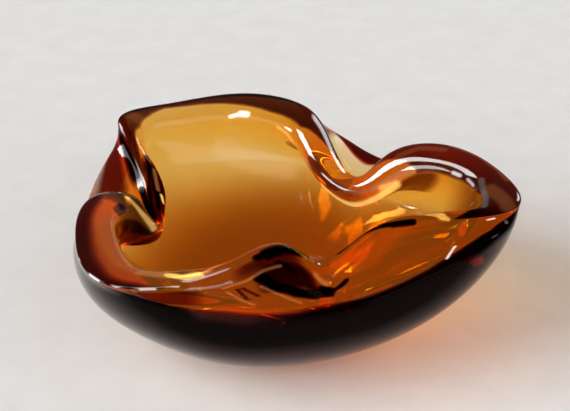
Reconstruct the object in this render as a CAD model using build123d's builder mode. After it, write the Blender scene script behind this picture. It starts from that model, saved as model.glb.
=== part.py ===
from build123d import *
import os
import numpy as np

# Free-form bowl of heavy cased glass.
# Frame: origin at the centre of the flat ground base, +Z up, the bowl rests on z = 0.
# The wall is a band of glass pulled out into three lobes and pressed in at three folds.
# Bearings are measured in degrees about Z from +X; all lengths are millimetres.

# ---------------------------------------------------------------- driving dimensions
BASE_RADIUS = 28.5        # flat ground foot
FLOOR_HEIGHT = 22.0       # top of the thick glass over the foot
FLOOR_RADIUS = 14.0       # flat middle of the bowl floor
LOBE_WALL = 14.0          # hull to inner wall, measured across a lobe
FOLD_WALL = 12.0          # hull to inner wall, measured across a fold
JOINT_SHARE = 0.45        # place of the joint between the gathers, from inside to outside
JOINT_RIM_SHARE = 0.40    # place of the same joint across the rim, from the outer edge
JOINT_PLAY = 0.005        # share of the wall left open at the joint, a few hundredths of a mm
RIM_ARRIS = 2.2           # roundness of the outer rim edge on a lobe
FOLD_ARRIS = 3.5          # roundness of the outer rim edge on a fold
FOLD_DEPTH_START = 2.0    # rim pushed in by this much counts as the start of a fold
FOLD_DEPTH_FULL = 22.0    # rim pushed in by this much counts as a full fold

# Rim stations round the bowl: name, hull bearing, outer edge x y z, inner lip x y z.
RIM_STATIONS = [
    ("right_tip", -9.4, 88.6, -13.0, 58.0, 75.0, -6.5, 54.0),
    ("right_back", 11.3, 85.1, 16.5, 59.0, 74.5, 11.0, 53.5),
    ("right_crest", 33.6, 63.1, 41.5, 58.0, 58.5, 26.5, 52.0),
    ("fold_a_right", 47.2, 42.6, 44.0, 51.0, 45.0, 29.5, 43.5),
    ("fold_a", 53.6, 33.1, 40.5, 44.0, 32.0, 31.0, 36.0),
    ("fold_a_left", 64.6, 23.1, 55.0, 48.0, 14.5, 46.0, 41.5),
    ("back_right", 80.1, 12.6, 81.5, 55.5, 4.5, 66.0, 50.0),
    ("back_mid", 98.8, -12.9, 89.0, 59.0, -14.0, 73.5, 53.5),
    ("back_left", 122.9, -48.4, 75.5, 60.0, -40.0, 66.0, 54.0),
    ("corner", 137.1, -66.4, 61.5, 60.0, -54.0, 57.0, 53.0),
    ("fold_b_back", 148.2, -61.4, 45.5, 54.5, -52.5, 46.5, 45.5),
    ("fold_b_mid", 161.3, -53.4, 25.5, 46.5, -47.0, 29.0, 37.5),
    ("fold_b_near", 171.0, -48.4, 7.5, 42.0, -45.5, 13.0, 36.5),
    ("fold_b", 175.5, -47.4, 1.3, 41.0, -46.0, 4.0, 38.0),
    ("fold_b_turn", 178.5, -50.5, 2.0, 45.0, -48.8, -1.0, 41.0),
    ("fold_b_lip", 184.2, -55.4, 7.5, 50.5, -53.0, -2.5, 46.0),
    ("left_back", 193.3, -66.4, 0.5, 57.0, -58.0, -10.0, 51.0),
    ("left", 209.8, -72.4, -39.0, 59.0, -57.5, -33.0, 54.0),
    ("left_front", 231.5, -58.4, -68.5, 58.0, -47.5, -53.5, 54.5),
    ("front_left", 246.6, -33.4, -65.5, 55.5, -32.0, -51.5, 52.5),
    ("fold_c_left", 265.0, -11.9, -43.5, 51.0, -15.0, -36.0, 45.3),
    ("fold_c_lip", 281.0, 4.6, -33.5, 50.3, 1.9, -24.0, 43.3),
    ("fold_c", 291.5, 15.6, -25.0, 38.5, 17.0, -14.5, 33.0),
    ("right_flank", 305.8, 30.6, -22.5, 48.3, 34.0, -11.5, 41.5),
    ("right_front", 329.0, 56.1, -15.5, 54.0, 56.5, -8.0, 45.5),
]

# Shoulder line of the hull, every 15 degrees of bearing: radius, height, outward flare.
SHOULDER = [
    (89.5, 49.0, 0.25),
    (84.5, 47.0, 0.20),
    (77.5, 45.0, 0.10),
    (71.0, 43.0, 0.00),
    (71.5, 43.8, 0.00),
    (80.0, 46.0, 0.10),
    (84.0, 47.0, 0.30),
    (86.5, 47.5, 0.35),
    (87.0, 49.5, 0.35),
    (87.5, 50.0, 0.30),
    (82.5, 47.0, 0.15),
    (78.0, 43.5, 0.00),
    (77.0, 41.5, 0.00),
    (79.0, 43.5, 0.00),
    (83.0, 48.0, 0.10),
    (87.0, 51.5, 0.30),
    (85.0, 53.0, 0.20),
    (77.5, 50.0, 0.00),
    (71.5, 46.0, 0.00),
    (69.0, 45.0, 0.00),
    (71.0, 47.0, 0.00),
    (76.5, 51.5, 0.00),
    (83.5, 54.5, 0.10),
    (88.0, 53.0, 0.20),
]

RING_POINTS = 120         # points on each lofting ring
UP = np.array([0.0, 0.0, 1.0])


# ---------------------------------------------------------------- curve helpers
def closed_spline(knots, values, at):
    """Smooth closed curve through values at knots, evaluated at the given parameters."""
    values = np.asarray(values, float)
    count = len(values)
    step = np.diff(knots)
    before = np.roll(step, 1)
    matrix = np.zeros((count, count))
    for i in range(count):
        matrix[i, (i - 1) % count] += before[i]
        matrix[i, i] += 2 * (before[i] + step[i])
        matrix[i, (i + 1) % count] += step[i]
    slope = (np.roll(values, -1, 0) - values) / step[:, None]
    bend = np.linalg.solve(matrix, 6 * (slope - np.roll(slope, 1, 0)))
    at = (np.asarray(at, float) - knots[0]) % (knots[-1] - knots[0]) + knots[0]
    i = np.clip(np.searchsorted(knots, at, side="right") - 1, 0, count - 1)
    j = (i + 1) % count
    a = ((knots[i + 1] - at) / step[i])[:, None]
    b = 1 - a
    share = (step[i] ** 2 / 6)[:, None]
    return a * values[i] + b * values[j] + ((a**3 - a) * bend[i] + (b**3 - b) * bend[j]) * share


def blend(a, b, share):
    return a + (b - a) * share


def unit(vectors):
    return vectors / np.linalg.norm(vectors, axis=-1, keepdims=True)


def arc(start, start_handle, end_handle, end, shares):
    """Cubic arc between two rings, one ring of points for each share."""
    t = np.asarray(shares, float)[:, None, None]
    first = (1 - t) ** 3 * start + 3 * (1 - t) ** 2 * t * start_handle
    return first + 3 * (1 - t) * t**2 * end_handle + t**3 * end


# ---------------------------------------------------------------- guide rings
table = np.array([row[1:] for row in RIM_STATIONS], float)
rim_points = table[:, 1:4]
lip_points = table[:, 4:7]
chords = np.linalg.norm((np.roll(rim_points, -1, 0) - rim_points)[:, :2], axis=1) ** 0.75
knots = np.concatenate([[0], np.cumsum(chords)]) / chords.sum()
along = np.linspace(0, 1, RING_POINTS, endpoint=False)

rim_edge = closed_spline(knots, rim_points, along)
lip = closed_spline(knots, lip_points, along)
lead = closed_spline(knots, (table[:, 0] - 360 * knots[:-1])[:, None], along)[:, 0]
bearing = 360 * along + lead

bearing_knots = np.linspace(0, 360, len(SHOULDER) + 1)
shoulder_values = closed_spline(bearing_knots, SHOULDER, bearing)
shoulder_radius = shoulder_values[:, 0:1]
shoulder_height = shoulder_values[:, 1:2]
flare = shoulder_values[:, 2:3]

outward = np.stack([np.cos(np.radians(bearing)), np.sin(np.radians(bearing)), 0 * bearing], -1)
shoulder = outward * shoulder_radius + UP * shoulder_height
foot = outward * BASE_RADIUS

# how far each place on the rim is folded in: 0 on a lobe, 1 on a full fold
pushed_in = shoulder_radius - (rim_edge * outward).sum(1)[:, None]
fold = np.clip((pushed_in - FOLD_DEPTH_START) / (FOLD_DEPTH_FULL - FOLD_DEPTH_START), 0, 1)
fold = fold * fold * (3 - 2 * fold)

# ---------------------------------------------------------------- outer surface
shoulder_rise = unit(UP + outward * flare)
foot_handle = foot + (shoulder - foot) * [0.383, 0.383, 0] + UP * shoulder_height * 0.176
shoulder_handle = shoulder - shoulder_rise * shoulder_height * 0.54

span = rim_edge - shoulder
reach = np.linalg.norm(span, axis=1)[:, None]
inward = span * [1, 1, 0]
inward = inward / np.maximum(np.linalg.norm(inward, axis=1)[:, None], 1e-6)
rim_rise = unit(unit(span) * (1 - fold) + (inward * 0.75 + UP * 0.55) * fold)
shelf_handle = shoulder + shoulder_rise * np.minimum(reach * 0.38, 9.0)
edge_handle = rim_edge - rim_rise * reach * 0.42

# ---------------------------------------------------------------- rim
drop = (rim_edge - lip)[:, 2:3]
across = unit((lip - rim_edge) * [1, 1, 0])
lip_fall = unit(across * blend(0.12, -0.6, fold) - UP)
arris_handle = rim_edge + rim_rise * blend(RIM_ARRIS, FOLD_ARRIS, fold)
lip_handle = lip - lip_fall * (drop * blend(1.05, 1.0, fold) + 1)

# ---------------------------------------------------------------- inner surface
haunch_radius = shoulder_radius - blend(LOBE_WALL, FOLD_WALL, fold)
haunch_height = np.minimum(shoulder_height - blend(8.0, 10.0, fold), lip[:, 2:3] - 6)
haunch = outward * haunch_radius + UP * haunch_height
haunch_rise = unit(UP + outward * flare * 1.2)
depth = np.linalg.norm(haunch - lip, axis=1)[:, None]
lip_under_handle = lip + lip_fall * depth * 0.45
haunch_over_handle = haunch + haunch_rise * depth * blend(0.35, 0.12, fold)
haunch_under_handle = haunch - haunch_rise * (haunch_height - FLOOR_HEIGHT) * 0.55
floor_edge = outward * FLOOR_RADIUS + UP * FLOOR_HEIGHT
floor_handle = outward * blend(FLOOR_RADIUS, haunch_radius, 0.5) + UP * FLOOR_HEIGHT

# ---------------------------------------------------------------- lofting rings
# The joint between the two gathers runs between matching places of the outer and the
# inner surface and comes out as a line on top of the rim.
WALL_SHARES = np.linspace(0, 1, 9)
HULL_SHARES = np.linspace(0, 1, 11)
CASING_RIM_SHARES = np.linspace(0, JOINT_RIM_SHARE, 5)
LINING_RIM_SHARES = np.linspace(JOINT_RIM_SHARE + JOINT_PLAY, 1, 6)

hull_rings = arc(foot, foot_handle, shoulder_handle, shoulder, HULL_SHARES)
wall_rings = arc(shoulder, shelf_handle, edge_handle, rim_edge, WALL_SHARES)
casing_rim_rings = arc(rim_edge, arris_handle, lip_handle, lip, CASING_RIM_SHARES)
lining_rim_rings = arc(rim_edge, arris_handle, lip_handle, lip, LINING_RIM_SHARES)
under_rings = arc(lip, lip_under_handle, haunch_over_handle, haunch, WALL_SHARES)
floor_rings = arc(haunch, haunch_under_handle, floor_handle, floor_edge, HULL_SHARES)

outer_side = np.concatenate([hull_rings, wall_rings[1:]])[::-1]
inner_side = np.concatenate([under_rings, floor_rings[1:]])


def joint_rings(rim_ring, share):
    """Rings of the joint: from its line on the rim to the haunch, then under the floor."""
    between = blend(inner_side, outer_side, share)
    turn = len(WALL_SHARES)
    return np.concatenate([[rim_ring], between[1:turn]]), between[turn - 1 :]


casing_joint = joint_rings(casing_rim_rings[-1], JOINT_SHARE)
lining_joint = joint_rings(lining_rim_rings[0], JOINT_SHARE - JOINT_PLAY)


def ring_wire(points):
    edge = Edge.make_spline(
        [Vector(*p) for p in points.tolist()],
        periodic=True,
        parameters=[i / RING_POINTS for i in range(RING_POINTS + 1)],
    )
    return Wire([edge])


def skin(rings):
    """Smooth surface through a run of rings."""
    return Shell.make_loft([ring_wire(points) for points in rings]).faces()


def disc(ring):
    """Flat face closing a level ring."""
    return Face(ring_wire(ring))


def closed_solid(faces):
    return Solid(Shell(faces))


# ---------------------------------------------------------------- the two gathers of glass
casing_faces = skin(hull_rings) + skin(wall_rings) + skin(casing_rim_rings)
casing_faces += skin(casing_joint[0]) + skin(casing_joint[1])
casing_solid = closed_solid(casing_faces + [disc(hull_rings[0]), disc(casing_joint[1][-1])])

lining_faces = skin(lining_rim_rings) + skin(under_rings) + skin(floor_rings)
lining_faces += skin(lining_joint[0]) + skin(lining_joint[1])
lining_solid = closed_solid(lining_faces + [disc(floor_rings[-1]), disc(lining_joint[1][-1])])

os.makedirs("parts", exist_ok=True)

# Outer gather: the dark casing with the ground foot.
with BuildPart() as outer_casing:
    add(casing_solid)
outer_casing.part.label = "outer_casing"
export_step(outer_casing.part, "parts/outer_casing.step")

# Inner gather: the amber glass that lines the cavity.
with BuildPart() as inner_lining:
    add(lining_solid)
inner_lining.part.label = "inner_lining"
export_step(inner_lining.part, "parts/inner_lining.step")
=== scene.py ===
import math
import bpy
import numpy as np
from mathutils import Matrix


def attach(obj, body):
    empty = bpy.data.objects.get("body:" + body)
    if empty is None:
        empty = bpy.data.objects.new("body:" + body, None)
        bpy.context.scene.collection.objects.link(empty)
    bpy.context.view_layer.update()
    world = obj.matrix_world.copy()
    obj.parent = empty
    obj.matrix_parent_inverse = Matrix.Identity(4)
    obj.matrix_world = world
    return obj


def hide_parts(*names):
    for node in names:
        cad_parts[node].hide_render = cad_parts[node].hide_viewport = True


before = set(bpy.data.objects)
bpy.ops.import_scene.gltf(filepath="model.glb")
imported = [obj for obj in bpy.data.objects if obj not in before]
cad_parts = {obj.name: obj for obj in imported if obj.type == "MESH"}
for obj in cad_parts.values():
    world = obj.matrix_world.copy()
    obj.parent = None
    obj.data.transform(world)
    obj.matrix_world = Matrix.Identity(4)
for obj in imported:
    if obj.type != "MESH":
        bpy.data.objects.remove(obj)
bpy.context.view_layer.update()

# The glass is rebuilt here from the same driving dimensions as the CAD, at a finer pitch,
# because glass shows every facet. Lengths are millimetres until the mesh is made.
# ---------------------------------------------------------------- driving dimensions
BASE_RADIUS = 28.5        # flat ground foot
FLOOR_HEIGHT = 22.0       # top of the thick glass over the foot
FLOOR_RADIUS = 14.0       # flat middle of the bowl floor
LOBE_WALL = 14.0          # hull to inner wall, measured across a lobe
FOLD_WALL = 12.0          # hull to inner wall, measured across a fold
JOINT_SHARE = 0.45        # place of the joint between the gathers, from inside to outside
JOINT_RIM_SHARE = 0.40    # place of the same joint across the rim, from the outer edge
JOINT_PLAY = 0.005        # share of the wall left open at the joint, a few hundredths of a mm
RIM_ARRIS = 2.2           # roundness of the outer rim edge on a lobe
FOLD_ARRIS = 3.5          # roundness of the outer rim edge on a fold
FOLD_DEPTH_START = 2.0    # rim pushed in by this much counts as the start of a fold
FOLD_DEPTH_FULL = 22.0    # rim pushed in by this much counts as a full fold

# Rim stations round the bowl: name, hull bearing, outer edge x y z, inner lip x y z.
RIM_STATIONS = [
    ("right_tip", -9.4, 88.6, -13.0, 58.0, 75.0, -6.5, 54.0),
    ("right_back", 11.3, 85.1, 16.5, 59.0, 74.5, 11.0, 53.5),
    ("right_crest", 33.6, 63.1, 41.5, 58.0, 58.5, 26.5, 52.0),
    ("fold_a_right", 47.2, 42.6, 44.0, 51.0, 45.0, 29.5, 43.5),
    ("fold_a", 53.6, 33.1, 40.5, 44.0, 32.0, 31.0, 36.0),
    ("fold_a_left", 64.6, 23.1, 55.0, 48.0, 14.5, 46.0, 41.5),
    ("back_right", 80.1, 12.6, 81.5, 55.5, 4.5, 66.0, 50.0),
    ("back_mid", 98.8, -12.9, 89.0, 59.0, -14.0, 73.5, 53.5),
    ("back_left", 122.9, -48.4, 75.5, 60.0, -40.0, 66.0, 54.0),
    ("corner", 137.1, -66.4, 61.5, 60.0, -54.0, 57.0, 53.0),
    ("fold_b_back", 148.2, -61.4, 45.5, 54.5, -52.5, 46.5, 45.5),
    ("fold_b_mid", 161.3, -53.4, 25.5, 46.5, -47.0, 29.0, 37.5),
    ("fold_b_near", 171.0, -48.4, 7.5, 42.0, -45.5, 13.0, 36.5),
    ("fold_b", 175.5, -47.4, 1.3, 41.0, -46.0, 4.0, 38.0),
    ("fold_b_turn", 178.5, -50.5, 2.0, 45.0, -48.8, -1.0, 41.0),
    ("fold_b_lip", 184.2, -55.4, 7.5, 50.5, -53.0, -2.5, 46.0),
    ("left_back", 193.3, -66.4, 0.5, 57.0, -58.0, -10.0, 51.0),
    ("left", 209.8, -72.4, -39.0, 59.0, -57.5, -33.0, 54.0),
    ("left_front", 231.5, -58.4, -68.5, 58.0, -47.5, -53.5, 54.5),
    ("front_left", 246.6, -33.4, -65.5, 55.5, -32.0, -51.5, 52.5),
    ("fold_c_left", 265.0, -11.9, -43.5, 51.0, -15.0, -36.0, 45.3),
    ("fold_c_lip", 281.0, 4.6, -33.5, 50.3, 1.9, -24.0, 43.3),
    ("fold_c", 291.5, 15.6, -25.0, 38.5, 17.0, -14.5, 33.0),
    ("right_flank", 305.8, 30.6, -22.5, 48.3, 34.0, -11.5, 41.5),
    ("right_front", 329.0, 56.1, -15.5, 54.0, 56.5, -8.0, 45.5),
]

# Shoulder line of the hull, every 15 degrees of bearing: radius, height, outward flare.
SHOULDER = [
    (89.5, 49.0, 0.25),
    (84.5, 47.0, 0.20),
    (77.5, 45.0, 0.10),
    (71.0, 43.0, 0.00),
    (71.5, 43.8, 0.00),
    (80.0, 46.0, 0.10),
    (84.0, 47.0, 0.30),
    (86.5, 47.5, 0.35),
    (87.0, 49.5, 0.35),
    (87.5, 50.0, 0.30),
    (82.5, 47.0, 0.15),
    (78.0, 43.5, 0.00),
    (77.0, 41.5, 0.00),
    (79.0, 43.5, 0.00),
    (83.0, 48.0, 0.10),
    (87.0, 51.5, 0.30),
    (85.0, 53.0, 0.20),
    (77.5, 50.0, 0.00),
    (71.5, 46.0, 0.00),
    (69.0, 45.0, 0.00),
    (71.0, 47.0, 0.00),
    (76.5, 51.5, 0.00),
    (83.5, 54.5, 0.10),
    (88.0, 53.0, 0.20),
]

RING_POINTS = 720          # points on each ring
LEAST_LENGTH = 1e-6        # mm, keeps a division by a length in bounds
UP = np.array([0.0, 0.0, 1.0])


# ---------------------------------------------------------------- curve helpers
def closed_spline(knots, values, at):
    """Smooth closed curve through values at knots, evaluated at the given parameters."""
    values = np.asarray(values, float)
    count = len(values)
    step = np.diff(knots)
    before = np.roll(step, 1)
    matrix = np.zeros((count, count))
    for i in range(count):
        matrix[i, (i - 1) % count] += before[i]
        matrix[i, i] += 2 * (before[i] + step[i])
        matrix[i, (i + 1) % count] += step[i]
    slope = (np.roll(values, -1, 0) - values) / step[:, None]
    bend = np.linalg.solve(matrix, 6 * (slope - np.roll(slope, 1, 0)))
    at = (np.asarray(at, float) - knots[0]) % (knots[-1] - knots[0]) + knots[0]
    i = np.clip(np.searchsorted(knots, at, side="right") - 1, 0, count - 1)
    j = (i + 1) % count
    a = ((knots[i + 1] - at) / step[i])[:, None]
    b = 1 - a
    share = (step[i] ** 2 / 6)[:, None]
    return a * values[i] + b * values[j] + ((a**3 - a) * bend[i] + (b**3 - b) * bend[j]) * share


def blend(a, b, share):
    return a + (b - a) * share


def unit(vectors):
    return vectors / np.linalg.norm(vectors, axis=-1, keepdims=True)


def arc(start, start_handle, end_handle, end, shares):
    """Cubic arc between two rings, one ring of points for each share."""
    t = np.asarray(shares, float)[:, None, None]
    first = (1 - t) ** 3 * start + 3 * (1 - t) ** 2 * t * start_handle
    return first + 3 * (1 - t) * t**2 * end_handle + t**3 * end


# ---------------------------------------------------------------- guide rings
CHORD_POWER = 0.75         # pace of the splines between rim stations
stations = np.array([row[1:] for row in RIM_STATIONS], float)
rim_points = stations[:, 1:4]
lip_points = stations[:, 4:7]
chords = np.linalg.norm((np.roll(rim_points, -1, 0) - rim_points)[:, :2], axis=1)
chords = chords ** CHORD_POWER
knots = np.concatenate([[0], np.cumsum(chords)]) / chords.sum()
along = np.linspace(0, 1, RING_POINTS, endpoint=False)

rim_edge = closed_spline(knots, rim_points, along)
lip = closed_spline(knots, lip_points, along)
lead = closed_spline(knots, (stations[:, 0] - 360 * knots[:-1])[:, None], along)[:, 0]
bearing = 360 * along + lead

bearing_knots = np.linspace(0, 360, len(SHOULDER) + 1)
shoulder_values = closed_spline(bearing_knots, SHOULDER, bearing)
shoulder_radius = shoulder_values[:, 0:1]
shoulder_height = shoulder_values[:, 1:2]
flare = shoulder_values[:, 2:3]

outward = np.stack([np.cos(np.radians(bearing)), np.sin(np.radians(bearing)), 0 * bearing], -1)
shoulder = outward * shoulder_radius + UP * shoulder_height
foot = outward * BASE_RADIUS

# how far each place on the rim is folded in: 0 on a lobe, 1 on a full fold
pushed_in = shoulder_radius - (rim_edge * outward).sum(1)[:, None]
fold = np.clip((pushed_in - FOLD_DEPTH_START) / (FOLD_DEPTH_FULL - FOLD_DEPTH_START), 0, 1)
fold = fold * fold * (3 - 2 * fold)

# How far the handles of the section's arcs are pulled, as shares of the length they work on.
FOOT_SPREAD = np.array([0.383, 0.383, 0.0])   # outward pull of the hull over the foot
FOOT_RISE = 0.176           # upward pull there
SHOULDER_PULL = 0.54        # hull below the shoulder line
SHELF_PULL = 0.38           # wall above the shoulder line
SHELF_PULL_MOST = 9.0       # and its greatest length, mm
EDGE_PULL = 0.42            # wall below the outer rim edge
FOLD_INWARD = 0.75          # lean of the wall at the rim of a full fold
FOLD_UPWARD = 0.55
LIP_OUT_LOBE = 0.12         # lean of the inner lip across the rim
LIP_OUT_FOLD = -0.60
LIP_PULL_LOBE = 1.05        # rim above the inner lip
LIP_PULL_FOLD = 1.0
LIP_PULL_LEAST = 1.0        # and its least length, mm
HAUNCH_BELOW_LOBE = 8.0     # inner wall's widest place under the shoulder line, mm
HAUNCH_BELOW_FOLD = 10.0
HAUNCH_UNDER_LIP = 6.0      # and its least distance under the lip, mm
HAUNCH_FLARE = 1.2          # flare of the inner wall against the hull's
LIP_UNDER_PULL = 0.45       # inner wall under the lip
HAUNCH_OVER_LOBE = 0.35     # inner wall above the haunch
HAUNCH_OVER_FOLD = 0.12
HAUNCH_UNDER_PULL = 0.55    # inner wall below the haunch
FLOOR_PULL = 0.5            # floor, toward the haunch

# ---------------------------------------------------------------- outer surface
shoulder_rise = unit(UP + outward * flare)
foot_handle = foot + (shoulder - foot) * FOOT_SPREAD + UP * shoulder_height * FOOT_RISE
shoulder_handle = shoulder - shoulder_rise * shoulder_height * SHOULDER_PULL

span = rim_edge - shoulder
reach = np.linalg.norm(span, axis=1)[:, None]
inward = span * [1, 1, 0]
inward = inward / np.maximum(np.linalg.norm(inward, axis=1)[:, None], LEAST_LENGTH)
rim_rise = unit(unit(span) * (1 - fold) + (inward * FOLD_INWARD + UP * FOLD_UPWARD) * fold)
shelf_handle = shoulder + shoulder_rise * np.minimum(reach * SHELF_PULL, SHELF_PULL_MOST)
edge_handle = rim_edge - rim_rise * reach * EDGE_PULL

# ---------------------------------------------------------------- rim
drop = (rim_edge - lip)[:, 2:3]
across = unit((lip - rim_edge) * [1, 1, 0])
lip_fall = unit(across * blend(LIP_OUT_LOBE, LIP_OUT_FOLD, fold) - UP)
arris_handle = rim_edge + rim_rise * blend(RIM_ARRIS, FOLD_ARRIS, fold)
lip_pull = drop * blend(LIP_PULL_LOBE, LIP_PULL_FOLD, fold) + LIP_PULL_LEAST
lip_handle = lip - lip_fall * lip_pull

# ---------------------------------------------------------------- inner surface
haunch_radius = shoulder_radius - blend(LOBE_WALL, FOLD_WALL, fold)
haunch_height = shoulder_height - blend(HAUNCH_BELOW_LOBE, HAUNCH_BELOW_FOLD, fold)
haunch_height = np.minimum(haunch_height, lip[:, 2:3] - HAUNCH_UNDER_LIP)
haunch = outward * haunch_radius + UP * haunch_height
haunch_rise = unit(UP + outward * flare * HAUNCH_FLARE)
depth = np.linalg.norm(haunch - lip, axis=1)[:, None]
lip_under_handle = lip + lip_fall * depth * LIP_UNDER_PULL
haunch_over_pull = depth * blend(HAUNCH_OVER_LOBE, HAUNCH_OVER_FOLD, fold)
haunch_over_handle = haunch + haunch_rise * haunch_over_pull
haunch_under_pull = (haunch_height - FLOOR_HEIGHT) * HAUNCH_UNDER_PULL
haunch_under_handle = haunch - haunch_rise * haunch_under_pull
floor_edge = outward * FLOOR_RADIUS + UP * FLOOR_HEIGHT
floor_handle = outward * blend(FLOOR_RADIUS, haunch_radius, FLOOR_PULL) + UP * FLOOR_HEIGHT

# ---------------------------------------------------------------- fine skins
# Rings on each part of the section, and on the joint under the wall and under the floor.
HULL_ROWS = 40
WALL_ROWS = 64
CASING_RIM_ROWS = 22
LINING_RIM_ROWS = 32
UNDER_ROWS = 44
FLOOR_ROWS = 44
JOINT_WALL_ROWS = 28
JOINT_FLOOR_ROWS = 36


def spread(count, low=0.0, high=1.0):
    return np.linspace(low, high, count)


casing_rim_shares = spread(CASING_RIM_ROWS, 0, JOINT_RIM_SHARE)
lining_rim_shares = spread(LINING_RIM_ROWS, JOINT_RIM_SHARE, 1)


def hull_arc(rows):
    return arc(foot, foot_handle, shoulder_handle, shoulder, spread(rows))


def wall_arc(rows):
    return arc(shoulder, shelf_handle, edge_handle, rim_edge, spread(rows))


def under_arc(rows):
    return arc(lip, lip_under_handle, haunch_over_handle, haunch, spread(rows))


def floor_arc(rows):
    return arc(haunch, haunch_under_handle, floor_handle, floor_edge, spread(rows))


hull_rings = hull_arc(HULL_ROWS)
wall_rings = wall_arc(WALL_ROWS)
casing_rim = arc(rim_edge, arris_handle, lip_handle, lip, casing_rim_shares)
lining_rim = arc(rim_edge, arris_handle, lip_handle, lip, lining_rim_shares)
under_rings = under_arc(UNDER_ROWS)
floor_rings = floor_arc(FLOOR_ROWS)
inner_side = np.concatenate([under_rings, floor_rings[1:]])

# matching rings on both sides of the wall, from the rim down, for the joint between the gathers
joint_outer = np.concatenate([
    wall_arc(JOINT_WALL_ROWS)[::-1], hull_arc(JOINT_FLOOR_ROWS)[::-1][1:]
])
joint_inner = np.concatenate([under_arc(JOINT_WALL_ROWS), floor_arc(JOINT_FLOOR_ROWS)[1:]])

# Places on the glass are named by bearing and by height up the section: 0 foot, 1 shoulder,
# 2 outer rim edge, 3 inner lip, 4 haunch, 5 floor.
hull_up = spread(HULL_ROWS)
wall_up = 1 + spread(WALL_ROWS)
casing_rim_up = 2 + casing_rim_shares
lining_rim_up = 2 + lining_rim_shares
inner_up = np.concatenate([3 + spread(UNDER_ROWS), 4 + spread(FLOOR_ROWS)[1:]])


def joint_rings(rim_ring, share):
    between = blend(joint_inner, joint_outer, share)
    return np.concatenate([[rim_ring], between[1:]])


def smooth_step(value, low, high):
    t = np.clip((value - low) / (high - low), 0, 1)
    return t * t * (3 - 2 * t)


def near(centre, full, none):
    """1 within a bearing distance of the centre, falling to 0 further round."""
    turn = np.abs((bearing - centre + 180) % 360 - 180)
    return smooth_step(turn, none, full)[None, :]


def round_profile(rows):
    """Value by bearing, read between the rows of a profile."""
    at, value = np.array(rows, float).T
    return np.interp(bearing % 360, at, value, period=360)[None, :]


def patches(up, rows):
    """Deepest of the soft-edged local patches at each height up the section."""
    column = np.asarray(up)[:, None]
    deepest = np.zeros((len(column), len(bearing)))
    for start, end, low, high, depth, soft_turn, soft_up in rows:
        half = (end - start) / 2
        across = near(start + half, half - soft_turn, half + soft_turn)
        up_start = smooth_step(column, low - soft_up, low + soft_up)
        up_end = smooth_step(column, high + soft_up, high - soft_up)
        deepest = np.maximum(deepest, depth * across * up_start * up_end)
    return deepest


# outward normals of the whole glass surface, so that the shading runs on over the joint line
skin_points = np.concatenate([
    hull_rings, wall_rings[1:], casing_rim[1:], lining_rim[1:], under_rings[1:], floor_rings[1:]
])
skin_up = np.concatenate([hull_up, wall_up[1:], casing_rim_up[1:], lining_rim_up[1:], inner_up[1:]])
up_slope = np.gradient(skin_points, axis=0)
round_slope = np.roll(skin_points, -1, 1) - np.roll(skin_points, 1, 1)
skin_normals = unit(np.cross(round_slope, up_slope))
hull_end = len(hull_rings)
wall_end = hull_end + len(wall_rings) - 1
casing_end = wall_end + len(casing_rim) - 1
lining_end = casing_end + len(lining_rim) - 1


def place(turn, up):
    """Point on the skin at a bearing and a height up the section."""
    column = int(np.argmin(np.abs((bearing - turn + 180) % 360 - 180)))
    return np.array([np.interp(up, skin_up, skin_points[:, column, axis]) for axis in range(3)])


STROKE_FULL = 0.5          # share of a stroke's half width that has its full depth
STROKE_END = 1.5           # and the share where it has faded out


def strokes(points, rows):
    """Deepest of the soft-edged marks drawn along lines on the skin."""
    deepest = np.zeros(points.shape[:2])
    for line, half_width, depth in rows:
        corners = [place(*corner) for corner in line]
        nearest = np.full(points.shape[:2], np.inf)
        for start, end in zip(corners, corners[1:]):
            along_line = end - start
            share = np.clip((points - start) @ along_line / (along_line @ along_line), 0, 1)
            gap = np.linalg.norm(points - start - share[..., None] * along_line, axis=-1)
            nearest = np.minimum(nearest, gap)
        mark = depth * smooth_step(nearest, half_width * STROKE_END, half_width * STROKE_FULL)
        deepest = np.maximum(deepest, mark)
    return deepest


METRES = 0.001                          # metres in a millimetre
DISC_SHARES = (0.25, 0.5, 0.75)         # rings that close the foot and the cavity floor
# skin layers: painted shade, seen straight through, no reflections, edge light, white light
LAYER_NAMES = ("painted_shade", "clear", "dull", "glow", "glint")


def stack_runs(runs):
    """Rings of all the runs in one stack, with the joint mark, normals and skin layers of each."""
    rings, marks, normals = [], [], []
    layers = {name: [] for name in LAYER_NAMES}
    for points, mark, skin, facing in runs:
        facing = np.broadcast_to(facing, points.shape)
        start = 1 if rings else 0
        if rings and not mark:
            # the ring shared with the joint belongs to the outside skin
            normals[-1] = facing[0]
        for name, values in layers.items():
            share = np.broadcast_to(skin.get(name, 0.0), points.shape[:2])
            if rings and not mark:
                values[-1] = share[0]
            values.extend(share[start:])
        rings.extend(points[start:])
        marks.extend([mark] * (len(points) - start))
        normals.extend(facing[start:])
    return rings, marks, normals, layers


def with_discs(values):
    """Values for each ring, with the first and the last repeated for the end discs."""
    discs = len(DISC_SHARES)
    return [values[0]] * discs + values + [values[-1]] * discs


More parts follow.
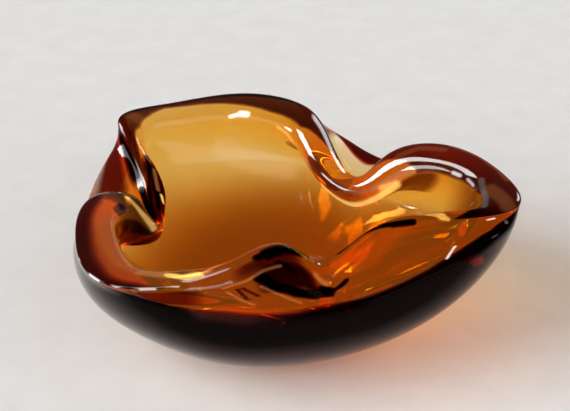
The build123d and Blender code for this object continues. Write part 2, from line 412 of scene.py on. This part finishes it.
def skin_faces(marks, normals, head_up, tail_up):
    """Faces between the rings and over both ends, with their joint marks and corner normals."""
    rows, cols = normals.shape[:2]
    discs = len(DISC_SHARES)
    here = np.arange(cols)
    beside = (here + 1) % cols
    faces, face_marks, corners = [], [], []
    for r in range(rows - 1):
        low, high = r * cols, (r + 1) * cols
        faces += np.stack([low + here, low + beside, high + beside, high + here], 1).tolist()
        face_marks += [marks[r + 1]] * cols
        strip = np.stack([normals[r], normals[r][beside], normals[r + 1][beside], normals[r + 1]], 1)
        if r < discs:
            strip = np.broadcast_to([0, 0, head_up], strip.shape)
        if r >= rows - 1 - discs:
            strip = np.broadcast_to([0, 0, tail_up], strip.shape)
        corners.append(strip.reshape(-1, 3))
    # the centre points of both ends come after the points of the rings
    top = (rows - 1) * cols
    first, last = rows * cols, rows * cols + 1
    faces += np.stack([np.full(cols, first), beside, here], 1).tolist()
    faces += np.stack([np.full(cols, last), top + here, top + beside], 1).tolist()
    face_marks += [marks[0]] * cols + [marks[-1]] * cols
    corners.append(np.broadcast_to([0, 0, head_up], (3 * cols, 3)))
    corners.append(np.broadcast_to([0, 0, tail_up], (3 * cols, 3)))
    return faces, face_marks, np.concatenate(corners)


def body_mesh(mesh_name, runs, head_up, tail_up):
    """Closed skin through runs of rings, each with a joint mark, skin layers and normals.

    The first and the last ring are closed with flat discs facing head_up and tail_up."""
    rings, marks, normals, layers = stack_runs(runs)
    head = [rings[0] * [share, share, 1] for share in DISC_SHARES]
    tail = [rings[-1] * [share, share, 1] for share in DISC_SHARES[::-1]]
    grid = np.array(head + rings + tail) * METRES
    centres = np.array([[0, 0, grid[0, 0, 2]], [0, 0, grid[-1, 0, 2]]])
    points = np.concatenate([grid.reshape(-1, 3), centres])
    normals = np.array(with_discs(normals))
    faces, face_marks, corners = skin_faces(with_discs(marks), normals, head_up, tail_up)

    mesh = bpy.data.meshes.new(mesh_name)
    mesh.from_pydata(points.tolist(), [], faces)
    layer = mesh.attributes.new("joint_face", "FLOAT", "FACE")
    layer.data.foreach_set("value", np.array(face_marks, float))
    for name, values in layers.items():
        values = with_discs(values)
        layer = mesh.attributes.new(name, "FLOAT", "POINT")
        ends = [values[0][0], values[-1][0]]
        layer.data.foreach_set("value", np.concatenate([np.ravel(values), ends]))
    mesh.polygons.foreach_set("use_smooth", [True] * len(faces))
    mesh.update()
    mesh.normals_split_custom_set(corners.tolist())
    obj = bpy.data.objects.new(mesh_name, mesh)
    bpy.context.scene.collection.objects.link(obj)
    return obj


# ---------------------------------------------------------------- painted shade and bright edges
# The marks below are placed by bearing in degrees and by height up the section.
# Painted shade: the glass is darkened for the eye where trapped light and the shaded table under it
# make it look dark.
HULL_PAINTED_SHADE = 1.75      # depth of the painted shade over the hull, against 1 on the rim
BACK_START = 1.83      # height up the section where the painted shade starts at the back of the bowl

# Height at which the painted shade over the hull ends, by bearing.
HULL_DARK_TOP = [
    (195, 2.0), (227, 2.0), (232, 1.76), (236, 1.56), (240, 1.30), (244, 1.08), (250, 0.99),
    (262, 0.99), (276, 1.05), (292, 1.17), (307, 1.16), (315, 1.19), (326, 1.30), (338, 1.45),
    (346, 1.72), (353, 2.0), (355, 2.0),
]
# Share of the rim that the band of painted shade takes, from the outer edge in, by bearing.
RIM_DARK_SHARE = [
    (0, 0.95), (15, 0.95), (38, 0.95), (46, 0.40), (54, -0.1), (61, 0.0), (66, 0.20), (77, 0.66),
    (90, 0.70), (103, 0.62), (114, 0.52), (125, 0.45), (132, 0.62), (138, 0.70), (146, 0.46),
    (152, 0.25), (165, -0.1), (190, -0.1), (198, 0.42), (225, 0.38), (238, 0.22), (246, -0.1),
    (334, -0.1), (346, 0.90),
]
# Depth of that band against 1, by bearing.
RIM_DEPTH = [(0, 0.85), (15, 0.72), (30, 0.66), (45, 0.75), (66, 1.0), (110, 0.95), (140, 0.8),
             (198, 1.05), (225, 1.0), (346, 0.9)]
# Local patches of painted shade: bearing from, to, section from, to, depth, softness round and up.
PAINTED_SHADE_PATCHES = [
    (53, 67, 2.62, 3.02, 0.42, 4, 0.06),       # crescent under the lip of the back right fold
    (269, 287, 1.54, 1.92, 0.85, 3, 0.06),     # red hollow over the gully of the front fold
    (263, 283, 1.88, 2.02, 0.5, 4, 0.06),      # brown strip under the crest of the front fold
    (29, 46, 2.97, 3.60, 0.55, 3, 0.05),       # inside of the right lobe
    (172, 193, 3.00, 3.52, 0.85, 3, 0.06),     # hollow of the left fold
    (236, 250, 1.22, 1.80, 0.35, 3, 0.06),     # front left shoulder
    (153, 172, 2.10, 2.70, 0.75, 3, 0.06),     # nose of the left fold
    (141, 166, 1.20, 1.72, 0.7, 4, 0.08),      # wall behind the back left corner
    (47, 72, 1.05, 1.50, 0.9, 3, 0.05),        # far edge of the back right fold
]
# Painted shade along lines, in place of dark refractions: corners as bearing and height, half width
# in mm, depth.
PAINTED_SHADE_STROKES = [
    # hump of the front fold
    ([(269, 2.06), (273, 2.05)], 1.4, 1.2),
    ([(273, 2.06), (277, 2.12), (281, 2.18), (284, 2.30)], 2.5, 1.6),
    ([(284, 2.30), (287, 2.40)], 1.3, 1.3),
    # gully of the front fold
    ([(269, 1.78), (271, 1.68), (273, 1.58)], 2.4, 2.0),
    ([(273, 1.58), (276, 1.52), (278, 1.46), (281, 1.42), (285, 1.50)], 3.0, 2.2),
    ([(285, 1.50), (288, 1.62), (291, 1.76)], 2.6, 2.0),
    ([(276, 1.88), (278, 1.85), (280, 1.79)], 2.0, 1.2),
    ([(292, 1.74), (297, 1.78)], 1.3, 1.2),
    # line along the lip of the right flank
    ([(298, 2.37), (305, 2.37), (310, 2.28), (315, 2.18), (319, 2.09), (324, 2.03)], 1.2, 1.3),
    # streaks on the front shelf
    ([(261, 1.70), (263, 1.41)], 0.7, 0.5),
    ([(263, 1.70), (266, 1.48)], 0.7, 0.5),
    # nose of the left fold
    ([(151, 2.50), (155, 2.38), (159, 2.24), (163, 2.12), (167, 2.06), (171, 2.03)], 0.9, 1.2),
    ([(155, 2.42), (158, 2.43), (161, 2.36), (165, 2.34), (169, 2.31)], 0.9, 1.9),
    ([(161, 1.95), (165, 1.96), (170, 1.97)], 1.0, 1.8),
    ([(158, 2.66), (165, 2.55), (167, 2.56)], 0.8, 1.0),
    # inner edge of the left lobe
    ([(193, 2.70), (196, 2.76)], 1.8, 1.2),
]
# Light gathered in thin edges: the same columns, with its strength. Weak light stays copper.
GLOW_STROKES = [
    # front left rim
    ([(243, 2.50), (247, 2.34), (251, 2.34)], 1.6, 0.75),
    ([(251, 2.34), (256, 2.50), (260, 2.60)], 0.5, 0.30),
    ([(236, 2.60), (240, 2.55), (244, 2.50)], 2.2, 0.22),
    # lip of the back right fold
    ([(62, 3.05), (55, 3.03), (50, 3.00), (46, 2.97)], 1.8, 0.60),
    ([(49, 2.85), (46, 2.95)], 1.5, 0.45),
    # lip and nose of the left fold
    ([(189, 2.42), (187, 2.56), (184, 2.65), (180, 2.68), (178, 2.84)], 1.3, 0.42),
    ([(165, 2.50), (167, 2.56)], 0.8, 0.8),
    ([(156, 2.50), (160, 2.42), (163, 2.40)], 0.8, 0.20),
    # inner part of the rim on the left lobe
    ([(197, 2.62), (205, 2.66), (215, 2.68), (226, 2.70), (236, 2.66)], 4.0, 0.08),
    # under the back lip
    ([(86, 2.97), (82, 3.00), (78, 3.11)], 0.7, 0.35),
    # streaks round the gully of the front fold
    ([(257, 1.78), (260, 1.81), (264, 1.81), (270, 1.86), (276, 1.86)], 0.6, 0.20),
    ([(258, 1.67), (261, 1.37), (264, 1.26)], 0.7, 0.20),
    ([(268, 1.66), (271, 1.50), (274, 1.36), (277, 1.26)], 0.6, 0.20),
    ([(289, 1.93), (291, 1.88), (292, 1.86)], 1.6, 0.22),
    # right tip and the rim of the right lobe
    ([(2, 2.72), (358, 2.62), (352, 2.43), (349, 2.25)], 2.8, 0.08),
    ([(28, 2.18), (18, 2.14), (10, 2.18), (5, 2.25)], 1.2, 0.08),
    ([(44, 2.45), (38, 2.40), (30, 2.42)], 1.6, 0.06),
    # back left corner
    ([(135, 2.40), (135, 2.62)], 2.8, 0.05),
]
# White light thrown back by the skin, most of it on the sharpest curves: the same columns.
GLINT_STROKES = [
    # outer rim edge, front left
    ([(217, 2.03), (226, 2.03), (234, 2.03)], 0.25, 0.55),
    ([(225, 2.03), (229, 2.03)], 0.5, 0.8),
    ([(234, 2.02), (240, 2.01), (246, 2.01)], 0.3, 0.6),
    ([(239, 2.01), (242, 2.01)], 0.5, 0.6),
    # under the back lip
    ([(105, 2.91), (102, 2.87)], 0.8, 0.9),
    ([(101, 2.85), (99, 2.85)], 1.3, 1.0),
    # lip of the right lobe
    ([(22, 2.87), (19, 2.87)], 0.7, 0.7),
    ([(15, 2.87), (11, 2.91)], 0.6, 0.5),
    # right side of the hull
    ([(321, 1.26), (326, 1.44)], 0.45, 0.9),
    ([(341, 1.87), (343, 1.87)], 0.4, 0.8),
    # weak and broad: round the end of the right lobe, and a pale band low on the back wall
    ([(9, 2.72), (3, 2.86), (356, 2.82), (347, 2.62)], 1.3, 0.06),
    ([(109, 3.85), (103, 4.03), (96, 4.11), (88, 4.19)], 5.0, 0.055),
]
# Places that show no reflection of the windows: patch columns as for the painted shade.
DULL_PATCHES = [
    (292, 345, 1.20, 2.60, 1.0, 4, 0.10),      # right flank
    (268, 296, 1.55, 2.20, 1.0, 3, 0.05),      # under the front crest
    (240, 296, 1.00, 1.90, 0.9, 5, 0.05),      # front shelf
    (245, 270, 1.90, 2.60, 0.6, 5, 0.05),      # front left rim
    (0, 360, 4.45, 5.20, 0.9, 9, 0.12),        # bottom of the cavity
    (151, 174, 2.22, 2.90, 1.0, 3, 0.05),      # nose of the left fold
    (161, 174, 1.80, 2.30, 1.0, 2, 0.05),
    (142, 151, 2.30, 2.60, 0.6, 3, 0.05),
    (177, 191, 2.35, 2.95, 0.9, 2, 0.05),      # lip of the left fold
]
# Places where the glass is so thin and even that it is seen straight through.
CLEAR_PATCHES = [
    (47, 70, 1.55, 1.97, 0.9, 2, 0.03),        # shelf of the back right fold
    (143, 166, 1.00, 1.30, 0.35, 3, 0.08),     # far edge of the back left corner
]

# Bearings as centre, reach of the full value and reach of none, in degrees.
FRONT = (275, 80, 112)         # side of the hull that the painted shade covers
SOFT_FRONT = (268, 20, 40)     # where the end of the painted shade is softer on the hull
SOFT_LEFT = (215, 25, 35)      # and on the rim
SOFT_LEAST = 0.05              # softness of the ends of the painted shade, up the section
SOFT_MORE_HULL = 0.07
SOFT_MORE_RIM = 0.06
FOOT_SHADE = 0.3               # shade round the foot
FOOT_SHADE_END = 0.8           # height where it ends
FOOT_SHADE_FULL = 0.1          # height where it is full
BACK_NONE = BACK_START - 0.08  # heights where the painted shade under the back rim starts and is full
BACK_FULL = BACK_START + 0.07
STRIP_NEEDS = (2.0, 2.15)      # the strip comes in as the painted shade on the rim does

in_front = near(*FRONT)
hull_dark_top = round_profile(HULL_DARK_TOP)
hull_soft = SOFT_LEAST + SOFT_MORE_HULL * near(*SOFT_FRONT)
rim_dark_top = 2 + round_profile(RIM_DARK_SHARE)
rim_soft = SOFT_LEAST + SOFT_MORE_RIM * near(*SOFT_LEFT)
rim_depth = round_profile(RIM_DEPTH)


def hull_painted_shade(up):
    """Painted shade on the hull and wall: the front, a strip under the back rim, and the foot."""
    column = np.asarray(up)[:, None]
    front = smooth_step(column, hull_dark_top + hull_soft, hull_dark_top - hull_soft) * in_front
    foot_shade = FOOT_SHADE * smooth_step(column, FOOT_SHADE_END, FOOT_SHADE_FULL)
    back = (1 - in_front) * smooth_step(column, BACK_NONE, BACK_FULL)
    back = back * smooth_step(rim_dark_top, *STRIP_NEEDS)
    return HULL_PAINTED_SHADE * np.maximum(np.maximum(front, foot_shade), back)


def rim_painted_shade(up):
    """Band of painted shade from the outer edge of the rim inward."""
    column = np.asarray(up)[:, None]
    return rim_depth * smooth_step(column, rim_dark_top + rim_soft, rim_dark_top - rim_soft)


def no_layer(up):
    return np.zeros((len(up), 1))


def skin_run(points, up, layer, facing):
    """Run of rings on the outside skin, with everything drawn on it."""
    # painted shade: darkness drawn on the skin for the eye, in place of trapped light and the shaded
    # table
    painted_shade = np.maximum(layer(up), patches(up, PAINTED_SHADE_PATCHES))
    painted_shade = np.maximum(painted_shade, strokes(points, PAINTED_SHADE_STROKES))
    drawn = {
        "painted_shade": painted_shade,
        "clear": patches(up, CLEAR_PATCHES),
        "dull": patches(up, DULL_PATCHES),
        "glow": strokes(points, GLOW_STROKES),
        "glint": strokes(points, GLINT_STROKES),
    }
    return points, 0, drawn, facing


# ---------------------------------------------------------------- the two gathers
casing = body_mesh("casing_glass_body", [
    skin_run(hull_rings, hull_up, hull_painted_shade, skin_normals[:hull_end]),
    skin_run(wall_rings, wall_up, hull_painted_shade, skin_normals[hull_end - 1:wall_end]),
    skin_run(casing_rim, casing_rim_up, rim_painted_shade, skin_normals[wall_end - 1:casing_end]),
    (joint_rings(casing_rim[-1], JOINT_SHARE), 1, {}, 0.0),
], -1, 1)
lining_share = JOINT_SHARE - 0.5 * JOINT_PLAY
lining = body_mesh("lining_glass_body", [
    (joint_rings(lining_rim[0], lining_share)[::-1], 1, {}, 0.0),
    skin_run(lining_rim, lining_rim_up, rim_painted_shade, skin_normals[casing_end - 1:lining_end]),
    skin_run(inner_side, inner_up, no_layer, skin_normals[lining_end - 1:]),
], -1, 1)


# ---------------------------------------------------------------- node helpers
def put(tree, kind, inputs=None, **settings):
    """New node; inputs maps a socket name or number to a value or to another socket."""
    node = tree.nodes.new(kind)
    for key, value in settings.items():
        setattr(node, key, value)
    for key, value in (inputs or {}).items():
        if isinstance(value, bpy.types.NodeSocket):
            tree.links.new(value, node.inputs[key])
        else:
            node.inputs[key].default_value = value
    return node


def calc(tree, kind, *values, clamp=False):
    """Result of a math node on sockets and numbers."""
    node = put(tree, "ShaderNodeMath", dict(enumerate(values)), operation=kind, use_clamp=clamp)
    return node.outputs[0]


def attribute(tree, name):
    return put(tree, "ShaderNodeAttribute", attribute_name=name).outputs["Fac"]


# ---------------------------------------------------------------- glass
PAINTED_SHADE_LOSS = (3.2, 5.6, 6.2)            # what one depth of the painted shade takes, by channel
PAINTED_BLACK_SHARE = 0.9                        # share of the painted shade that is a painted black veil, face on
TRAPPED_LIGHT = (1.0, 0.38, 0.05, 1)    # light led round inside the glass, per metre
TRAPPED_POWER = 8.4
GLOW_COPPER = (1.0, 0.34, 0.10, 1)      # light gathered in thin edges, where it is weak
GLOW_YELLOW = (1.0, 0.78, 0.20, 1)      # and where it is strong
CLEAR_SHARE = 0.25                      # share of the colour where the glass is seen through
CASING_LOSS = (15.0, 74.0, 260.0)       # what the glass takes per metre, by channel
LINING_LOSS = (12.0, 66.0, 240.0)
LEAVING_SIDE = (24.0, 0.085)            # bearing that light leaves by, and reach in metres
LEAVING_POWER = 52.0                    # light that leaves there for the table, per metre
TABLE_SHARE = 0.5                       # share of that loss in the light that reaches the table
SWELL_SCALE = 45.0                      # slow waves of the hot-worked surface
SWELL_DETAIL = 1.0
SWELL_HEIGHT = 0.0009
SWELL_STRENGTH = 0.25
FACING_BLEND = 0.5
GLASS_IOR = 1.5
MIRROR_WHITE = (1.0, 0.97, 0.93, 1)     # colour of the light drawn as glints
WARMTH_SLOPE = 3.0                      # edge light turns from copper to yellow as it grows
WARMTH_START = -0.5
SHADED_BOUNCE = 0.5                     # diffuse depth over which a ray is light for the table


def glass_skin(tree, seen):
    """Refracting skin, darkened by the painted shade where there is one."""
    depth = calc(tree, "MULTIPLY", attribute(tree, "painted_shade"), seen)
    tone = put(tree, "ShaderNodeCombineColor")
    for channel, loss in zip(("Red", "Green", "Blue"), PAINTED_SHADE_LOSS):
        passed = calc(tree, "POWER", math.exp(-loss), depth)
        tree.links.new(passed, tone.inputs[channel])
    coord = put(tree, "ShaderNodeTexCoord").outputs["Object"]
    swell = put(tree, "ShaderNodeTexNoise", {
        "Vector": coord, "Scale": SWELL_SCALE, "Detail": SWELL_DETAIL,
    })
    bump = put(tree, "ShaderNodeBump", {
        "Height": swell.outputs["Fac"], "Strength": SWELL_STRENGTH, "Distance": SWELL_HEIGHT,
    })
    skin = put(tree, "ShaderNodeBsdfPrincipled", {
        "Base Color": tone.outputs[0], "Normal": bump.outputs[0],
        "Transmission Weight": 1.0, "IOR": GLASS_IOR, "Roughness": 0.0,
    })
    # where the skin is dull, light from outside goes in and none of it is thrown back
    bent = put(tree, "ShaderNodeBsdfRefraction", {
        "Color": tone.outputs[0], "Normal": bump.outputs[0],
        "IOR": GLASS_IOR, "Roughness": 0.0,
    })
    behind = put(tree, "ShaderNodeNewGeometry").outputs["Backfacing"]
    dull = calc(tree, "MULTIPLY", attribute(tree, "dull"), calc(tree, "SUBTRACT", 1.0, behind))
    skin = put(tree, "ShaderNodeMixShader", {0: dull, 1: skin.outputs[0], 2: bent.outputs[0]})
    # painted black veil: part of the painted shade is drawn as plain black, most where the skin faces
    # the eye
    black = put(tree, "ShaderNodeBsdfDiffuse", {"Color": (0, 0, 0, 1)})
    turned = put(tree, "ShaderNodeLayerWeight", {"Blend": FACING_BLEND}).outputs["Facing"]
    face_on = calc(tree, "SUBTRACT", 1.0, turned)
    veil = calc(tree, "MULTIPLY", depth, face_on, clamp=True)
    veil = calc(tree, "MULTIPLY", veil, PAINTED_BLACK_SHARE)
    return put(tree, "ShaderNodeMixShader", {0: veil, 1: skin.outputs[0], 2: black.outputs[0]})


def edge_light(tree, seen):
    """Light gathered in thin edges, copper where weak and pale yellow where strong."""
    glow = calc(tree, "MULTIPLY", attribute(tree, "glow"), seen)
    warmth = calc(tree, "MULTIPLY_ADD", glow, WARMTH_SLOPE, WARMTH_START, clamp=True)
    colour = put(tree, "ShaderNodeMix", {0: warmth, 6: GLOW_COPPER, 7: GLOW_YELLOW}, data_type="RGBA")
    light = put(tree, "ShaderNodeEmission", {"Color": colour.outputs[2], "Strength": glow})
    return light.outputs[0]


def mirror_light(tree, seen):
    """White light thrown back by the skin."""
    glint = calc(tree, "MULTIPLY", attribute(tree, "glint"), seen)
    light = put(tree, "ShaderNodeEmission", {"Color": MIRROR_WHITE, "Strength": glint})
    return light.outputs[0]


def glass_body(tree, loss, seen, straight):
    """Coloured glass that takes light away, with a little light led round inside it."""
    most = max(loss)
    tint = [1 - channel / most for channel in loss] + [1]
    density = calc(tree, "MULTIPLY_ADD", seen, most * (1 - TABLE_SHARE), most * TABLE_SHARE)
    thinned = calc(tree, "MULTIPLY_ADD", straight, CLEAR_SHARE - 1, 1.0)
    density = calc(tree, "MULTIPLY", density, thinned)
    # the light from the window leaves the glass for the table on the side away from it
    turn, reach = LEAVING_SIDE
    coord = put(tree, "ShaderNodeTexCoord").outputs["Object"]
    where = put(tree, "ShaderNodeSeparateXYZ", {0: coord})
    away = calc(tree, "MULTIPLY", where.outputs["X"], math.cos(math.radians(turn)) / reach)
    away = calc(
        tree, "MULTIPLY_ADD", where.outputs["Y"], math.sin(math.radians(turn)) / reach, away,
        clamp=True,
    )
    leaving = calc(tree, "MULTIPLY", away, LEAVING_POWER)
    power = calc(tree, "MULTIPLY", thinned, TRAPPED_POWER)
    change = calc(tree, "SUBTRACT", power, leaving)
    power = calc(tree, "MULTIPLY_ADD", seen, change, leaving)
    body = put(tree, "ShaderNodeVolumeAbsorption", {"Color": tint, "Density": density})
    trapped = put(tree, "ShaderNodeEmission", {"Color": TRAPPED_LIGHT, "Strength": power})
    return put(tree, "ShaderNodeAddShader", {0: body.outputs[0], 1: trapped.outputs[0]})


def glass_material(name, loss):
    """Glass of one gather; the joint faces only pass light."""
    mat = bpy.data.materials.new(name)
    mat.use_nodes = True
    tree = mat.node_tree
    tree.nodes.clear()
    # the painted shade holds back what the eye sees, but not the light that lands on the table
    path = put(tree, "ShaderNodeLightPath")
    seen = calc(tree, "LESS_THAN", path.outputs["Diffuse Depth"], SHADED_BOUNCE)
    skin = glass_skin(tree, seen)
    passed = put(tree, "ShaderNodeBsdfTransparent")
    through = calc(tree, "MAXIMUM", attribute(tree, "joint_face"), attribute(tree, "clear"))
    # a ray that went straight in at a clear place also comes straight out again
    straight = path.outputs["Is Camera Ray"]
    behind = put(tree, "ShaderNodeNewGeometry").outputs["Backfacing"]
    through = calc(tree, "MAXIMUM", through, calc(tree, "MULTIPLY", behind, straight))
    surface = put(tree, "ShaderNodeMixShader", {
        0: through, 1: skin.outputs[0], 2: passed.outputs[0],
    })
    for light in (edge_light(tree, seen), mirror_light(tree, seen)):
        surface = put(tree, "ShaderNodeAddShader", {0: surface.outputs[0], 1: light})
    body = glass_body(tree, loss, seen, straight)
    put(tree, "ShaderNodeOutputMaterial", {"Surface": surface.outputs[0], "Volume": body.outputs[0]})
    return mat


casing.data.materials.append(glass_material("casing_glass", CASING_LOSS))
lining.data.materials.append(glass_material("lining_glass", LINING_LOSS))

for piece, node, slot_name in (
    (casing, "outer_casing", "casing_glass"),
    (lining, "inner_lining", "lining_glass"),
):
    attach(piece, "root")
    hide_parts(node)


# ---------------------------------------------------------------- table
TABLE_LOW = (0.68, 0.672, 0.665, 1)
TABLE_HIGH = (0.72, 0.712, 0.705, 1)
TABLE_GRAIN = 60.0
TABLE_GRAIN_DETAIL = 6.0
TABLE_TONE_ENDS = (0.3, 0.7)            # part of the grain over which the tone changes
TABLE_ROUGHNESS = 0.75
TABLE_LEFT, TABLE_RIGHT = -6.0, 6.0     # metres
TABLE_NEAR, TABLE_FAR = -3.0, 6.0
TABLE_GAP = 0.0001                      # so that the foot and the table don't share a face


def table_paint():
    mat = bpy.data.materials.new("table_paint")
    mat.use_nodes = True
    tree = mat.node_tree
    coord = put(tree, "ShaderNodeTexCoord").outputs["Object"]
    speck = put(tree, "ShaderNodeTexNoise", {
        "Vector": coord, "Scale": TABLE_GRAIN, "Detail": TABLE_GRAIN_DETAIL,
    })
    ramp = put(tree, "ShaderNodeValToRGB", {"Fac": speck.outputs["Fac"]})
    tones = zip(ramp.color_ramp.elements, TABLE_TONE_ENDS, (TABLE_LOW, TABLE_HIGH))
    for element, end, colour in tones:
        element.position = end
        element.color = colour
    paint = tree.nodes["Principled BSDF"]
    paint.inputs["Roughness"].default_value = TABLE_ROUGHNESS
    tree.links.new(ramp.outputs["Color"], paint.inputs["Base Color"])
    return mat


table_corners = [
    (TABLE_LEFT, TABLE_NEAR, 0.0),
    (TABLE_RIGHT, TABLE_NEAR, 0.0),
    (TABLE_RIGHT, TABLE_FAR, 0.0),
    (TABLE_LEFT, TABLE_FAR, 0.0),
]
table_mesh = bpy.data.meshes.new("table_top")
table_mesh.from_pydata(table_corners, [], [(0, 1, 2, 3)])
table_top = bpy.data.objects.new("table_top", table_mesh)
table_top.location.z = -TABLE_GAP
bpy.context.scene.collection.objects.link(table_top)
table_mesh.materials.append(table_paint())

# ---------------------------------------------------------------- light
# Windows seen in the glass: bearing, height, width, tallness in degrees, power, softness.
WINDOWS = [
    (152, 47, 24, 26, 25.0, 3.0),
    (200, 36, 22, 18, 22.0, 3.0),
    (62, 32, 14, 16, 11.0, 3.0),
]
BACKDROP = (90, -8, 150, 24, 0.5, 10.0)     # pale strip behind the bowl, same columns
LIT_WALL = (270, 30, 130, 34, 1.1, 6.0)     # wall in front of the bowl
ROOM_DARK = 0.07                            # rest of the room
ROOM_WHITE = (1.0, 0.997, 0.99, 1)
# Light that lands on the table: one broad window at the left, the lit wall and a pale dome.
TABLE_WINDOW = (204, 33, 48, 42, 6.6, 8.0)
WALL_ON_TABLE = 1.8                         # power of the lit wall there, against its own
DOME_SIDE = 0.12                            # dome at table height
DOME_TOP = 0.07                             # and what it gains up to the top

scene = bpy.context.scene
world = bpy.data.worlds.new("studio")
scene.world = world
world.use_nodes = True
sky = world.node_tree
sky.nodes.clear()
direction = put(sky, "ShaderNodeTexCoord").outputs["Generated"]
split = put(sky, "ShaderNodeSeparateXYZ", {0: direction})
azimuth = calc(sky, "ARCTAN2", split.outputs["Y"], split.outputs["X"])
height = calc(sky, "ARCSINE", split.outputs["Z"])


def step_band(value, low, high, soft):
    """1 between low and high with soft edges."""
    rise = calc(sky, "DIVIDE", calc(sky, "SUBTRACT", value, low - soft / 2), soft, clamp=True)
    fall = calc(sky, "DIVIDE", calc(sky, "SUBTRACT", high + soft / 2, value), soft, clamp=True)
    return calc(sky, "MULTIPLY", rise, fall)


def window(az, el, width, tall, power, soft):
    """Bright pane with soft edges, centred at a bearing and a height; angles in degrees."""
    az, el, width, tall, soft = np.radians([az, el, width, tall, soft]).tolist()
    turn = calc(sky, "WRAP", calc(sky, "SUBTRACT", azimuth, az), math.pi, -math.pi)
    across = step_band(turn, -width / 2, width / 2, soft)
    up = step_band(height, el - tall / 2, el + tall / 2, soft)
    return calc(sky, "MULTIPLY", calc(sky, "MULTIPLY", across, up), power)


windows = 0.0
for row in WINDOWS:
    windows = calc(sky, "ADD", windows, window(*row))
lit_wall = window(*LIT_WALL)
room = calc(sky, "ADD", calc(sky, "ADD", window(*BACKDROP), ROOM_DARK), lit_wall)
seen_light = calc(sky, "ADD", room, windows)
dome = calc(sky, "MULTIPLY_ADD", split.outputs["Z"], DOME_TOP, DOME_SIDE, clamp=True)
soft_light = calc(sky, "MULTIPLY_ADD", lit_wall, WALL_ON_TABLE, dome)
soft_light = calc(sky, "ADD", window(*TABLE_WINDOW), soft_light)
# the room shows only to the eye, straight on or by way of the glass; the table never gets it
path = put(sky, "ShaderNodeLightPath").outputs
to_eye = calc(sky, "ADD", path["Is Reflection Ray"], path["Is Transmission Ray"])
to_eye = calc(sky, "ADD", to_eye, path["Is Camera Ray"], clamp=True)
to_eye = calc(sky, "MULTIPLY", to_eye, calc(sky, "LESS_THAN", path["Diffuse Depth"], SHADED_BOUNCE))
change = calc(sky, "SUBTRACT", seen_light, soft_light)
strength = calc(sky, "MULTIPLY_ADD", to_eye, change, soft_light)
back = put(sky, "ShaderNodeBackground", {"Strength": strength, "Color": ROOM_WHITE})
put(sky, "ShaderNodeOutputWorld", {"Surface": back.outputs[0]})

# ---------------------------------------------------------------- camera
VIEW_DOWN = 28.0                        # degrees below level
VIEW_TARGET = (0.002382, 0.014968556, 0.044117062)    # point in the cavity that is looked at
VIEW_DISTANCE = 0.6
VIEW_LENS = 96.63                       # mm
VIEW_SENSOR = 36.0                      # mm
# Bounces that light may take, by kind; rays cross many glass skins.
LIGHT_BOUNCES = {"max": 24, "transmission": 24, "glossy": 12, "diffuse": 4, "transparent_max": 32}

view_tilt = math.radians(VIEW_DOWN)
camera_data = bpy.data.cameras.new("view")
camera = bpy.data.objects.new("view", camera_data)
scene.collection.objects.link(camera)
camera_data.lens = VIEW_LENS
camera_data.sensor_width = VIEW_SENSOR
camera.location = (
    VIEW_TARGET[0],
    VIEW_TARGET[1] - VIEW_DISTANCE * math.cos(view_tilt),
    VIEW_TARGET[2] + VIEW_DISTANCE * math.sin(view_tilt),
)
camera.rotation_euler = (math.pi / 2 - view_tilt, 0, 0)
scene.camera = camera

scene.view_settings.view_transform = "Standard"
for light_path, bounces in LIGHT_BOUNCES.items():
    setattr(scene.cycles, light_path + "_bounces", bounces)
